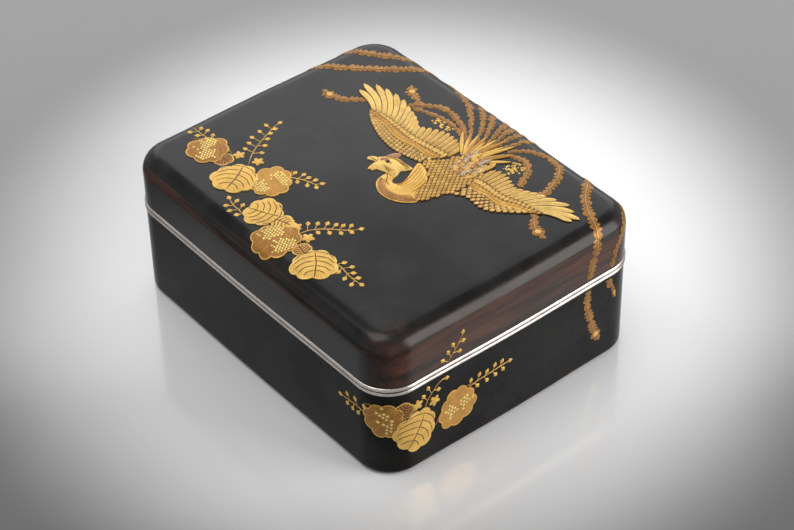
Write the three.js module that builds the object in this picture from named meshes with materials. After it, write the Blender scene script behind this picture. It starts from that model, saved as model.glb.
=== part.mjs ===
// A lacquered wooden box with a lift-off lid, in millimetres.
// The origin is the middle of the underside, +X runs along the length, +Y to the back and +Z up.
// Boards of wood are coated inside and out with lacquer, and a metal rim caps each wall where lid and box meet.
import * as THREE from "three";

// Outer form
const boxLength = 151.5;
const boxWidth = 121.9;
const longSideBow = 0.4;
const shortSideBow = 0.6;
const cornerRadius = 13.8;
const bodyHeight = 40.1;
const lidHeight = 22.5;
const topDome = 0.6;
const lidEdgeRadius = 7.4;
const footRadius = 2.4;

// Walls, floor and top
const coatThickness = 0.8;
const wallBoardThickness = 3.2;
const floorBoardThickness = 3.6;
const topBoardThickness = 4.5;
const liningThickness = 0.7;
const liningCornerRadius = 2;

// Metal rims and the riser that keeps the lid in place
const rimHeight = 1.6;
const rimProud = 0.45;
const seamHeight = 0.3;
const riserThickness = 2.2;
const riserStand = 7;
const riserReach = 12;
const riserEdge = 0.7;

// Clearances
const layerGap = 0.3;
const seatGap = 0.1;
const mitreGap = 0.35;

// Steps along the outline and round the edges
const halfCornerSteps = 4;
const sideSteps = 6;
const edgeSteps = 5;
const smallEdgeSteps = 3;
const rimSteps = 6;
const domeSteps = 3;

// Insets of each layer from the outer surface
const boardInset = coatThickness + layerGap;
const boardEnd = boardInset + wallBoardThickness;
const liningInset = boardEnd + layerGap;
const wallThickness = liningInset + liningThickness;
const riserInset = wallThickness + layerGap;
const riserEnd = riserInset + riserThickness;

// Heights
const bodyRimTop = bodyHeight - seamHeight / 2;
const bodyRimBase = bodyRimTop - rimHeight;
const bodyWallTop = bodyRimBase - seatGap;
const lidRimBase = bodyHeight + seamHeight / 2;
const lidRimTop = lidRimBase + rimHeight;
const lidWallBase = lidRimTop + seatGap;
const lidTop = bodyHeight + lidHeight;
const floorBoardBase = coatThickness + layerGap;
const floorBoardTop = floorBoardBase + floorBoardThickness;
const topBoardTop = lidTop - coatThickness - layerGap;
const topBoardBase = topBoardTop - topBoardThickness;

const quarterTurn = Math.PI / 2;
const eighthTurn = Math.PI / 4;

// One station of the outline, in the frame of a side: s runs along it and out points away from the middle.
function turned(side, s, out, alongNormal, outNormal) {
  const c = Math.round(Math.cos(side * quarterTurn));
  const n = Math.round(Math.sin(side * quarterTurn));
  return {
    x: c * s + n * out,
    y: n * s - c * out,
    nx: c * alongNormal + n * outNormal,
    ny: n * alongNormal - c * outNormal,
  };
}

// Stations from the middle of one corner to the middle of the next, short of both by the mitre's angle.
function sideStations(side, mitreAngle = 0) {
  const long = side % 2 === 0;
  const half = (long ? boxLength : boxWidth) / 2 - cornerRadius;
  const depth = (long ? boxWidth : boxLength) / 2;
  const bow = long ? longSideBow : shortSideBow;
  const stations = [];
  const corner = (sign, angle) => {
    const along = sign * Math.sin(angle);
    const out = Math.cos(angle);
    const s = sign * half + cornerRadius * along;
    const o = depth - cornerRadius + cornerRadius * out;
    stations.push(turned(side, s, o, along, out));
  };
  const last = eighthTurn - mitreAngle;
  for (let i = 0; i < halfCornerSteps; i += 1) corner(-1, last * (1 - i / halfCornerSteps));
  for (let i = 0; i <= sideSteps; i += 1) {
    const u = (2 * i) / sideSteps - 1;
    const rise = bow * Math.cos(quarterTurn * u) ** 2;
    const slope = (-bow * quarterTurn * Math.sin(Math.PI * u)) / half;
    const size = Math.hypot(1, slope);
    stations.push(turned(side, half * u, depth + rise, -slope / size, 1 / size));
  }
  for (let i = 1; i <= halfCornerSteps; i += 1) corner(1, (last * i) / halfCornerSteps);
  return stations;
}

// The whole outline, anticlockwise seen from above.
function outline() {
  return [0, 1, 2, 3].flatMap((side) => sideStations(side).slice(0, -1));
}

// Points of an arc in a wall's section: [inset from the outer surface, height].
function arc(inset, height, radius, fromDegrees, toDegrees, steps) {
  const points = [];
  for (let i = 0; i <= steps; i += 1) {
    const angle = THREE.MathUtils.degToRad(fromDegrees + ((toDegrees - fromDegrees) * i) / steps);
    points.push([inset - radius * Math.cos(angle), height + radius * Math.sin(angle)]);
  }
  return points;
}

// A body from its vertices and triangles, wound so that its faces point out.
function solid(vertices, triangles) {
  const geometry = new THREE.BufferGeometry();
  geometry.setAttribute("position", new THREE.Float32BufferAttribute(vertices.flat(), 3));
  geometry.setIndex(triangles.flat());
  const corner = (i) => new THREE.Vector3(...vertices[i]);
  const volume = triangles.reduce((sum, [a, b, c]) => sum + corner(a).dot(corner(b).cross(corner(c))), 0);
  if (volume < 0) geometry.setIndex(triangles.map(([a, b, c]) => [a, c, b]).flat());
  geometry.computeVertexNormals();
  return geometry;
}

function place(station, [inset, height, shrink = 1]) {
  return [
    (station.x - station.nx * inset) * shrink,
    (station.y - station.ny * inset) * shrink,
    height,
  ];
}

// A section swept round the whole outline. An open section starts and ends on the middle axis.
function sweepRound(section, middle) {
  const stations = outline();
  const count = stations.length;
  const vertices = section.flatMap((point) => stations.map((station) => place(station, point)));
  const triangles = [];
  const bands = middle ? section.length - 1 : section.length;
  for (let k = 0; k < bands; k += 1) {
    const low = k * count;
    const high = ((k + 1) % section.length) * count;
    for (let i = 0; i < count; i += 1) {
      const j = (i + 1) % count;
      triangles.push([low + i, low + j, high + j], [low + i, high + j, high + i]);
    }
  }
  if (middle) {
    const first = vertices.push([0, 0, middle[0]]) - 1;
    const last = vertices.push([0, 0, middle[1]]) - 1;
    const end = (section.length - 1) * count;
    for (let i = 0; i < count; i += 1) {
      const j = (i + 1) % count;
      triangles.push([first, j, i], [last, end + i, end + j]);
    }
  }
  return solid(vertices, triangles);
}

// A closed section swept along one side, from mitre to mitre.
function sweepSide(section, side) {
  const inner = Math.max(...section.map(([inset]) => inset));
  const mitreAngle = Math.asin(mitreGap / 2 / (cornerRadius - inner));
  const stations = sideStations(side, mitreAngle);
  const count = section.length;
  const vertices = stations.flatMap((station) => section.map((point) => place(station, point)));
  const triangles = [];
  for (let i = 0; i + 1 < stations.length; i += 1) {
    for (let k = 0; k < count; k += 1) {
      const next = (k + 1) % count;
      const [a, b] = [i * count + k, i * count + next];
      triangles.push([a, b, b + count], [a, b + count, a + count]);
    }
  }
  const flat = section.map(([inset, height]) => new THREE.Vector2(inset, height));
  const end = (stations.length - 1) * count;
  const clockwise = THREE.ShapeUtils.isClockWise(flat);
  for (const [a, b, c] of THREE.ShapeUtils.triangulateShape(flat, [])) {
    const face = clockwise ? [a, b, c] : [a, c, b];
    triangles.push(face, face.map((i) => end + i).reverse());
  }
  return solid(vertices, triangles);
}

// The gentle crown of the lid's top, from its middle out to the rounded edge.
function crown(height) {
  const rings = [];
  for (let i = 1; i < domeSteps; i += 1) {
    const share = i / domeSteps;
    rings.push([lidEdgeRadius, height + topDome * Math.cos(quarterTurn * share) ** 2, share]);
  }
  return rings;
}

// Height of the wall's rounded shoulder: its angle on an arc of this radius.
function shoulderAngle(height, radius) {
  const share = (height - (lidTop - lidEdgeRadius)) / radius;
  return THREE.MathUtils.radToDeg(Math.asin(Math.min(1, Math.max(0, share))));
}

function bodyOuterCoat() {
  const inner = Math.max(footRadius - coatThickness, seatGap);
  const section = [
    ...arc(footRadius, footRadius, footRadius, -90, 0, smallEdgeSteps),
    [0, bodyWallTop],
    [coatThickness, bodyWallTop],
    ...arc(coatThickness + inner, coatThickness + inner, inner, 0, -90, smallEdgeSteps),
  ];
  return sweepRound(section, [0, coatThickness]);
}

function bodyFloorBoard() {
  const edge = Math.max(footRadius - boardInset, seatGap);
  const section = [
    ...arc(boardInset + edge, floorBoardBase + edge, edge, -90, 0, smallEdgeSteps),
    [boardInset, floorBoardTop],
  ];
  return sweepRound(section, [floorBoardBase, floorBoardTop]);
}

function bodyWallBoard(side) {
  const base = floorBoardTop + seatGap;
  const section = [
    [boardInset, base],
    [boardEnd, base],
    [boardEnd, bodyWallTop],
    [boardInset, bodyWallTop],
  ];
  return sweepSide(section, side);
}

function bodyLining() {
  const base = floorBoardTop + layerGap;
  const inner = liningCornerRadius;
  const outer = inner + liningThickness;
  const section = [
    ...arc(liningInset + outer, base + outer, outer, -90, 0, smallEdgeSteps),
    [liningInset, bodyWallTop],
    [wallThickness, bodyWallTop],
    ...arc(liningInset + outer, base + outer, inner, 0, -90, smallEdgeSteps),
  ];
  return sweepRound(section, [base, base + liningThickness]);
}

// A rim caps the wall from its lining to a rounded bead just proud of its outer surface.
function rim(base) {
  const half = rimHeight / 2;
  const section = [
    [wallThickness, base + rimHeight],
    [wallThickness, base],
    ...arc(half - rimProud, base + half, half, -90, 90, rimSteps),
  ];
  return sweepRound(section);
}

// The riser stands against the body's lining and reaches up inside the lid.
function riserStrip(side) {
  const base = bodyRimTop - riserReach;
  const top = bodyHeight + riserStand;
  const section = [
    [riserInset, base],
    [riserEnd, base],
    [riserEnd, top - riserEdge],
    [riserEnd - riserEdge, top],
    [riserInset + riserEdge, top],
    [riserInset, top - riserEdge],
  ];
  return sweepSide(section, side);
}

function lidOuterCoat() {
  const centre = lidTop - lidEdgeRadius;
  const inner = lidEdgeRadius - coatThickness;
  const section = [
    ...crown(lidTop),
    ...arc(lidEdgeRadius, centre, lidEdgeRadius, 90, 0, edgeSteps + 1),
    [0, lidWallBase],
    [coatThickness, lidWallBase],
    ...arc(lidEdgeRadius, centre, inner, 0, 90, edgeSteps),
    ...crown(lidTop - coatThickness).reverse(),
  ];
  const middle = lidTop + topDome;
  return sweepRound(section, [middle, middle - coatThickness]);
}

function lidTopBoard() {
  const centre = lidTop - lidEdgeRadius;
  const radius = lidEdgeRadius - boardInset;
  const start = shoulderAngle(topBoardBase, radius);
  const section = [
    ...arc(lidEdgeRadius, centre, radius, start, 90, edgeSteps),
    ...crown(topBoardTop).reverse(),
  ];
  return sweepRound(section, [topBoardBase, topBoardTop + topDome]);
}

function lidWallBoard(side) {
  const top = topBoardBase - seatGap;
  const radius = lidEdgeRadius - boardInset;
  const centre = Math.min(lidTop - lidEdgeRadius, top);
  const section = [
    [boardEnd, top],
    [boardEnd, lidWallBase],
    [boardInset, lidWallBase],
    ...arc(lidEdgeRadius, centre, radius, 0, shoulderAngle(top, radius), smallEdgeSteps),
  ];
  return sweepSide(section, side);
}

function lidLining() {
  const ceiling = topBoardBase - layerGap;
  const inner = liningCornerRadius;
  const outer = inner + liningThickness;
  const section = [
    ...arc(liningInset + outer, ceiling - outer, outer, 90, 0, smallEdgeSteps),
    [liningInset, lidWallBase],
    [wallThickness, lidWallBase],
    ...arc(liningInset + outer, ceiling - outer, inner, 0, 90, smallEdgeSteps),
  ];
  return sweepRound(section, [ceiling, ceiling - liningThickness]);
}

function finish(colour, roughness, metalness = 0) {
  return new THREE.MeshStandardMaterial({ color: colour, roughness, metalness });
}

const box = new THREE.Group();

function add(name, geometry, material) {
  const mesh = new THREE.Mesh(geometry, material);
  mesh.name = name;
  box.add(mesh);
}

const sides = ["front", "right", "back", "left"];
const blackLacquer = [0x1c1b1a, 0.3];
const liningLacquer = [0x2a2320, 0.35];
const wood = [0xb98f5e, 0.75];
const metal = [0xcfc6bd, 0.35, 1];

add("body_outer_lacquer", bodyOuterCoat(), finish(...blackLacquer));
add("body_floor_board", bodyFloorBoard(), finish(...wood));
sides.forEach((name, side) => add(`body_${name}_board`, bodyWallBoard(side), finish(...wood)));
add("body_inner_lacquer", bodyLining(), finish(...liningLacquer));
add("body_metal_rim", rim(bodyRimBase), finish(...metal));
sides.forEach((name, side) => add(`riser_${name}`, riserStrip(side), finish(...liningLacquer)));
add("lid_outer_lacquer", lidOuterCoat(), finish(...blackLacquer));
add("lid_top_board", lidTopBoard(), finish(...wood));
sides.forEach((name, side) => add(`lid_${name}_board`, lidWallBoard(side), finish(...wood)));
add("lid_inner_lacquer", lidLining(), finish(...liningLacquer));
add("lid_metal_rim", rim(lidRimBase), finish(...metal));

export default box;
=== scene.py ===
import math
import random

import bpy
import numpy as np
from mathutils import Matrix, Vector
from mathutils.geometry import delaunay_2d_cdt


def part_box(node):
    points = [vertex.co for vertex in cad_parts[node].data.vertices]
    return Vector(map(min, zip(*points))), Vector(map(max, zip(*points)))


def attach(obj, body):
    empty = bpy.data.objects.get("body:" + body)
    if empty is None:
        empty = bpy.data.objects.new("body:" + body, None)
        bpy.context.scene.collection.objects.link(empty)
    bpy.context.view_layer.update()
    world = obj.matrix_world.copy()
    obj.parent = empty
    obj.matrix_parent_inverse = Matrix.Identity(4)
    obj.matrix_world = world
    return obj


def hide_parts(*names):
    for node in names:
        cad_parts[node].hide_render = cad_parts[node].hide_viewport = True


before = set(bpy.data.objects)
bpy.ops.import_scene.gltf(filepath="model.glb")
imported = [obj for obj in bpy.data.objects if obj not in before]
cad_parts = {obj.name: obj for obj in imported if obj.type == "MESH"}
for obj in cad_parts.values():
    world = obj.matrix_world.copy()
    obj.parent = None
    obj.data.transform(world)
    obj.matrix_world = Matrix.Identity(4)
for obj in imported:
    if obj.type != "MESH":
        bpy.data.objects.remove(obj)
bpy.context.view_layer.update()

# Lengths below are in millimetres, and MM turns them into metres.
MM = 0.001
CORNER = 13.8
EDGE = 7.4
FOOT = 2.4
DOME = 0.6
LONG_BOW = 0.4
SHORT_BOW = 0.6
COAT = 0.8
LINING = 0.7
RELIEF_ROOT = -0.12


def node_top(node):
    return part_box(node)[1].z / MM


def node_base(node):
    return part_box(node)[0].z / MM


LID_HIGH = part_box("lid_outer_lacquer")[1] / MM
CORE_X = LID_HIGH.x - SHORT_BOW - CORNER
CORE_Y = LID_HIGH.y - LONG_BOW - CORNER
TOP = LID_HIGH.z - DOME
FLAT = CORNER - EDGE
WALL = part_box("body_outer_lacquer")[1].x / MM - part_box("riser_right")[1].x / MM - 0.3
RIM_SEAM = (node_top("body_metal_rim") + node_base("lid_metal_rim")) / 2
LID_WALL_BASE = node_base("lid_outer_lacquer")
BODY_WALL_TOP = node_top("body_outer_lacquer")


# The box's surface

def dome(x, y):
    u = np.clip(np.abs(x) / (CORE_X + FLAT), 0, 1)
    v = np.clip(np.abs(y) / (CORE_Y + FLAT), 0, 1)
    return DOME * (np.cos(np.pi / 2 * u) * np.cos(np.pi / 2 * v)) ** 2


def bow_at(cx, cy, nx, ny):
    across = SHORT_BOW * np.cos(np.pi / 2 * cy / CORE_Y) ** 2
    along = LONG_BOW * np.cos(np.pi / 2 * cx / CORE_X) ** 2
    return nx**2 * across + ny**2 * along


def skin(x, y, lift=0.0):
    """The lid's top at (x, y), and past its edge the rounding and the walls, folded out flat."""
    x, y, lift = np.broadcast_arrays(np.asarray(x, float), np.asarray(y, float), lift)
    cx, cy = np.clip(x, -CORE_X, CORE_X), np.clip(y, -CORE_Y, CORE_Y)
    reach = np.hypot(x - cx, y - cy)
    safe = np.maximum(reach, 1e-9)
    nx, ny = (x - cx) / safe, (y - cy) / safe
    past = np.maximum(reach - FLAT, 0)
    turn = np.minimum(past / EDGE, np.pi / 2)
    out = np.minimum(reach, FLAT) + EDGE * np.sin(turn)
    out = out + bow_at(cx, cy, nx, ny) * np.minimum(reach / FLAT, 1)
    z = TOP - EDGE + EDGE * np.cos(turn) - np.maximum(past - EDGE * np.pi / 2, 0) + dome(x, y)
    side = np.sin(turn)
    return np.stack(
        [cx + nx * (out + side * lift), cy + ny * (out + side * lift), z + np.cos(turn) * lift], -1
    )


def corner_wall(w, z, lift=0.0):
    """The walls by the front right corner. w runs round the outline from the corner's middle, z is height."""
    w, z, lift = np.broadcast_arrays(np.asarray(w, float), np.asarray(z, float), lift)
    half = CORNER * np.pi / 4
    angle = np.clip(w / CORNER, -np.pi / 4, np.pi / 4) - np.pi / 4
    nx, ny = np.cos(angle), np.sin(angle)
    cx = CORE_X - np.maximum(-w - half, 0)
    cy = -CORE_Y + np.maximum(w - half, 0)
    out = CORNER + bow_at(cx, cy, nx, ny) + lift
    return np.stack([cx + nx * out, cy + ny * out, z], -1)


# Meshes

def make_object(name, points, faces, material, body, colours=None, sharp=35):
    mesh = bpy.data.meshes.new(name)
    mesh.from_pydata([tuple(p) for p in np.asarray(points) * MM], [], faces)
    mesh.update()
    if colours is not None:
        layer = mesh.color_attributes.new("paint", "FLOAT_COLOR", "POINT")
        flat = np.ones((len(points), 4), np.float32)
        flat[:, :3] = colours
        layer.data.foreach_set("color", flat.ravel())
    mesh.polygons.foreach_set("use_smooth", [True] * len(mesh.polygons))
    mesh.set_sharp_from_angle(angle=math.radians(sharp))
    obj = bpy.data.objects.new(name, mesh)
    bpy.context.scene.collection.objects.link(obj)
    mesh.materials.append(material)
    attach(obj, body)
    return obj


def outline_stations(side, corner_steps=14, side_steps=40):
    """Core points and normals from the middle of one corner to the middle of the next."""
    turn = side * np.pi / 2
    half = (CORE_X, CORE_Y)[side % 2]
    depth = (CORE_Y, CORE_X)[side % 2]
    s = np.r_[
        np.full(corner_steps, -half), np.linspace(-half, half, side_steps), np.full(corner_steps, half)
    ]
    swing = np.linspace(0, np.pi / 4, corner_steps + 1)
    angle = np.r_[-swing[:0:-1], np.zeros(side_steps), swing[1:]]
    local = np.stack([s, np.full_like(s, -depth)], -1)
    normal = np.stack([np.sin(angle), -np.cos(angle)], -1)
    c, n = round(math.cos(turn)), round(math.sin(turn))
    spin = np.array([[c, n], [-n, c]])
    return local @ spin, normal @ spin


def outline(sides=(0, 1, 2, 3)):
    parts = [outline_stations(side) for side in sides]
    if len(sides) == 1:
        return parts[0]
    return np.vstack([p[0][:-1] for p in parts]), np.vstack([p[1][:-1] for p in parts])


def ring(core, normal, inset, z, share=1.0, domed=False):
    bow = bow_at(core[:, 0], core[:, 1], normal[:, 0], normal[:, 1])
    xy = (core + normal * (CORNER - inset + bow)[:, None]) * share
    height = np.full(len(xy), float(z)) + (dome(xy[:, 0], xy[:, 1]) if domed else 0)
    return np.column_stack([xy, height])


def bridge(faces, a, b, count, closed=True):
    for i in range(count if closed else count - 1):
        j = (i + 1) % count
        faces.append((a + i, a + j, b + j, b + i))


def sweep_round(section, middle=None):
    """A section of (inset, z, share, domed) points swept round the outline."""
    core, normal = outline()
    count = len(core)
    points = np.vstack([ring(core, normal, *point) for point in section])
    faces = []
    for k in range(len(section) - 1):
        bridge(faces, k * count, (k + 1) * count, count)
    if middle is None:
        bridge(faces, (len(section) - 1) * count, 0, count)
    else:
        first = len(points)
        points = np.vstack([points, [[0, 0, middle[0]], [0, 0, middle[1]]]])
        end = (len(section) - 1) * count
        for i in range(count):
            j = (i + 1) % count
            faces.append((first, j, i))
            faces.append((first + 1, end + i, end + j))
    return points, faces


def sweep_side(section, side, trim):
    core, normal = outline((side,))
    along = (0, 1)[side % 2]
    core, normal = core[trim:-trim], normal[trim:-trim]
    count = len(core)
    points = np.vstack([ring(core, normal, inset, z) for inset, z in section])
    faces = []
    for k in range(len(section)):
        bridge(faces, k * count, (k + 1) % len(section) * count, count, closed=False)
    faces.append(tuple(k * count for k in range(len(section))))
    faces.append(tuple(k * count + count - 1 for k in reversed(range(len(section)))))
    return points, faces


def outward(points, faces):
    """The faces, turned to point out if they point in."""
    p = np.asarray(points)
    volume = sum(np.dot(p[f[0]], np.cross(p[f[1]], p[f[2]])) for f in faces if len(f) >= 3)
    volume += sum(np.dot(p[f[0]], np.cross(p[f[2]], p[f[3]])) for f in faces if len(f) == 4)
    return faces if volume > 0 else [tuple(reversed(f)) for f in faces]


def arc(inset, z, radius, start, end, steps):
    angles = np.radians(np.linspace(start, end, steps + 1))
    return [(inset - radius * math.cos(a), z + radius * math.sin(a)) for a in angles]


# Materials

def material(name):
    made = bpy.data.materials.new(name)
    made.use_nodes = True
    return made, made.node_tree, made.node_tree.nodes["Principled BSDF"]


def put(tree, kind, links=None, **values):
    """A node with its settings, its unlinked values by input name, and its links."""
    node = tree.nodes.new(kind)
    for key, value in values.items():
        if hasattr(node, key):
            setattr(node, key, value)
        else:
            node.inputs[key.replace("_", " ")].default_value = value
    for name, output in (links or {}).items():
        tree.links.new(output, node.inputs[name])
    return node


def math_node(tree, operation, a, b=None, clamp=False):
    node = tree.nodes.new("ShaderNodeMath")
    node.operation = operation
    node.use_clamp = clamp
    for socket, value in zip(node.inputs, (a, b)):
        if value is None:
            continue
        if isinstance(value, (int, float)):
            socket.default_value = value
        else:
            tree.links.new(value, socket)
    return node.outputs[0]


def ramp(tree, value, low, high, out_low=0.0, out_high=1.0):
    node = tree.nodes.new("ShaderNodeMapRange")
    node.interpolation_type = "SMOOTHSTEP"
    tree.links.new(value, node.inputs["Value"])
    for name, number in zip(("From Min", "From Max", "To Min", "To Max"), (low, high, out_low, out_high)):
        node.inputs[name].default_value = number
    return node.outputs[0]


def noise(tree, scale, detail=3.0, rough=0.5, stretch=(1, 1, 1)):
    """Noise over the object's own coordinates, in features per millimetre."""
    place = put(tree, "ShaderNodeTexCoord").outputs["Object"]
    mapping = tree.nodes.new("ShaderNodeMapping")
    mapping.inputs["Scale"].default_value = [s * scale / MM for s in stretch]
    tree.links.new(place, mapping.inputs["Vector"])
    node = tree.nodes.new("ShaderNodeTexNoise")
    node.inputs["Scale"].default_value = 1.0
    node.inputs["Detail"].default_value = detail
    node.inputs["Roughness"].default_value = rough
    tree.links.new(mapping.outputs[0], node.inputs["Vector"])
    return node.outputs["Fac"]


def coordinates(tree):
    place = put(tree, "ShaderNodeTexCoord").outputs["Object"]
    split = tree.nodes.new("ShaderNodeSeparateXYZ")
    tree.links.new(place, split.inputs[0])
    return [math_node(tree, "DIVIDE", split.outputs[i], MM) for i in range(3)]


def mix(tree, factor, a, b, blend="MIX"):
    node = tree.nodes.new("ShaderNodeMix")
    node.data_type = "RGBA"
    node.blend_type = blend
    sockets = {s.identifier: s for s in node.inputs}
    for key, value in (("Factor_Float", factor), ("A_Color", a), ("B_Color", b)):
        if isinstance(value, (int, float)):
            sockets[key].default_value = value
        elif isinstance(value, (tuple, list)):
            sockets[key].default_value = (*value, 1)
        else:
            tree.links.new(value, sockets[key])
    return {s.identifier: s for s in node.outputs}["Result_Color"]


def bump(tree, shader, height, strength, distance):
    node = put(tree, "ShaderNodeBump", {"Height": height}, Strength=strength, Distance=distance)
    tree.links.new(node.outputs[0], shader.inputs["Normal"])


BLACK = (0.0042, 0.0040, 0.0036)
WORN = (0.0125, 0.0120, 0.0110)
BROWN = (0.095, 0.034, 0.020)


def black_lacquer(name, ior):
    made, tree, shader = material(name)
    x, y, z = coordinates(tree)
    cloud = noise(tree, 0.045, 6, 0.62)
    base = mix(tree, ramp(tree, cloud, 0.36, 0.66), BLACK, WORN)
    streak = noise(tree, 0.14, 5, 0.6, (1.6, 0.12, 1.6))
    right = ramp(tree, x, 66, 75)
    lid_wall = math_node(tree, "MULTIPLY", right, ramp(tree, z, 41, 44))
    lid_wall = math_node(tree, "MULTIPLY", lid_wall, ramp(tree, z, 63, 57))
    lid_wall = math_node(tree, "MULTIPLY", lid_wall, ramp(tree, streak, 0.36, 0.7, 0.1, 1.0))
    front_streak = noise(tree, 0.2, 4, 0.6, (0.06, 2.2, 2.2))
    front = math_node(tree, "MULTIPLY", ramp(tree, y, -57.5, -60.5), ramp(tree, z, 50, 57))
    front = math_node(tree, "MULTIPLY", front, ramp(tree, front_streak, 0.47, 0.62))
    front = math_node(tree, "MULTIPLY", front, 0.6)
    foot = math_node(tree, "MULTIPLY", ramp(tree, z, 2.6, 0.6), ramp(tree, x, 60, 74))
    foot = math_node(tree, "MULTIPLY", foot, ramp(tree, noise(tree, 0.09, 3), 0.4, 0.6))
    spot = math_node(tree, "MULTIPLY", ramp(tree, x, 60, 70), ramp(tree, y, -38, -52))
    spot = math_node(tree, "MULTIPLY", spot, ramp(tree, z, 52, 57))
    spot = math_node(tree, "MULTIPLY", spot, ramp(tree, noise(tree, 0.16, 5, 0.6), 0.42, 0.7, 0, 0.5))
    wear = math_node(tree, "MAXIMUM", math_node(tree, "MAXIMUM", lid_wall, front), foot)
    wear = math_node(tree, "MAXIMUM", wear, spot, clamp=True)
    colour = mix(tree, wear, base, BROWN)
    tree.links.new(colour, shader.inputs["Base Color"])
    rings = tree.nodes.new("ShaderNodeTexVoronoi")
    rings.inputs["Scale"].default_value = 0.055 / MM
    tree.links.new(put(tree, "ShaderNodeTexCoord").outputs["Object"], rings.inputs["Vector"])
    halo = ramp(tree, rings.outputs["Distance"], 0.36, 0.3)
    halo = math_node(tree, "MULTIPLY", halo, 0.05)
    rough = math_node(tree, "ADD", ramp(tree, cloud, 0.3, 0.75, 0.2, 0.27), halo)
    tree.links.new(rough, shader.inputs["Roughness"])
    shader.inputs["IOR"].default_value = ior
    grit = math_node(tree, "MULTIPLY", noise(tree, 3.0, 2), 0.25)
    fine = math_node(tree, "ADD", noise(tree, 0.5, 4, 0.6), grit)
    bump(tree, shader, fine, 0.12, 0.00004)
    return made


def lining_lacquer():
    made, tree, shader = material("inner_lacquer")
    cloud = noise(tree, 0.05, 4)
    base = mix(tree, ramp(tree, cloud, 0.35, 0.7), (0.014, 0.011, 0.009), (0.028, 0.017, 0.012))
    flake = tree.nodes.new("ShaderNodeTexVoronoi")
    flake.inputs["Scale"].default_value = 1.5 / MM
    tree.links.new(put(tree, "ShaderNodeTexCoord").outputs["Object"], flake.inputs["Vector"])
    speck = ramp(tree, flake.outputs["Distance"], 0.2, 0.12)
    lot = put(tree, "ShaderNodeSeparateColor", {"Color": flake.outputs["Color"]}).outputs[0]
    chosen = ramp(tree, lot, 0.55, 0.6)
    speck = math_node(tree, "MULTIPLY", speck, chosen)
    colour = mix(tree, speck, base, (0.42, 0.24, 0.07))
    tree.links.new(colour, shader.inputs["Base Color"])
    tree.links.new(math_node(tree, "MULTIPLY", speck, 0.8), shader.inputs["Metallic"])
    tree.links.new(ramp(tree, cloud, 0.3, 0.75, 0.24, 0.34), shader.inputs["Roughness"])
    bump(tree, shader, noise(tree, 0.6, 4, 0.6), 0.1, 0.00004)
    return made


def gold(name="gold", metallic=0.55, rough=(0.36, 0.5)):
    """Gold powder laid in lacquer. Its colour is the piece's own paint, rubbed darker here and there."""
    made, tree, shader = material(name)
    paint = put(tree, "ShaderNodeVertexColor", layer_name="paint").outputs["Color"]
    powder = noise(tree, 1.8, 5, 0.7)
    rubbed = noise(tree, 0.22, 4, 0.6)
    grain = ramp(tree, powder, 0.25, 0.75, 0.7, 1.08)
    shade = math_node(tree, "MULTIPLY", grain, ramp(tree, rubbed, 0.3, 0.7, 0.84, 1.08))
    grey = put(tree, "ShaderNodeCombineColor", {"Red": shade, "Green": shade, "Blue": shade}).outputs[0]
    tree.links.new(mix(tree, 1.0, paint, grey, "MULTIPLY"), shader.inputs["Base Color"])
    shader.inputs["Metallic"].default_value = metallic
    tree.links.new(ramp(tree, powder, 0.3, 0.7, rough[1], rough[0]), shader.inputs["Roughness"])
    bump(tree, shader, powder, 0.35, 0.00006)
    return made


def rim_metal():
    made, tree, shader = material("rim_metal")
    tarnish = noise(tree, 0.12, 5, 0.65)
    colour = mix(tree, ramp(tree, tarnish, 0.35, 0.72), (0.72, 0.66, 0.61), (0.56, 0.49, 0.44))
    # Painted shade: the beads are painted dark brown where they curve in towards the seam between the lid's
    # rim and the box's rim, where the gap falls in shade.
    seam = math_node(tree, "ABSOLUTE", math_node(tree, "SUBTRACT", coordinates(tree)[2], RIM_SEAM))
    normal = put(tree, "ShaderNodeNewGeometry").outputs["Normal"]
    slope = math_node(tree, "ABSOLUTE", put(tree, "ShaderNodeSeparateXYZ", {"Vector": normal}).outputs[2])
    painted_seam_shade = math_node(tree, "MULTIPLY", ramp(tree, seam, 0.5, 0.18), ramp(tree, slope, 0.98, 0.92))
    colour = mix(tree, painted_seam_shade, colour, (0.12, 0.055, 0.04))
    tree.links.new(colour, shader.inputs["Base Color"])
    shader.inputs["Metallic"].default_value = 1.0
    tree.links.new(ramp(tree, tarnish, 0.3, 0.7, 0.2, 0.4), shader.inputs["Roughness"])
    bump(tree, shader, noise(tree, 0.3, 3, 0.5), 0.15, 0.00006)
    return made


def wood():
    made, tree, shader = material("wood_core")
    grain = noise(tree, 0.25, 5, 0.6, (0.08, 1, 1))
    colour = mix(tree, ramp(tree, grain, 0.3, 0.7), (0.42, 0.27, 0.14), (0.56, 0.4, 0.23))
    tree.links.new(colour, shader.inputs["Base Color"])
    tree.links.new(ramp(tree, grain, 0.3, 0.7, 0.6, 0.75), shader.inputs["Roughness"])
    bump(tree, shader, grain, 0.3, 0.0001)
    return made


LID_LACQUER = black_lacquer("lid_lacquer", 1.34)
# The body's lacquer is the lid's lacquer with a lower IOR, so its walls reflect less: a darker copy of the
# same lacquer that stands in for shade.
BODY_LACQUER = black_lacquer("body_lacquer", 1.17)
INNER = lining_lacquer()
GOLD = gold()
CUT_GOLD = gold("cut_gold", 0.8, (0.25, 0.36))
RIM = rim_metal()
WOOD = wood()


# The box itself

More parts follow.
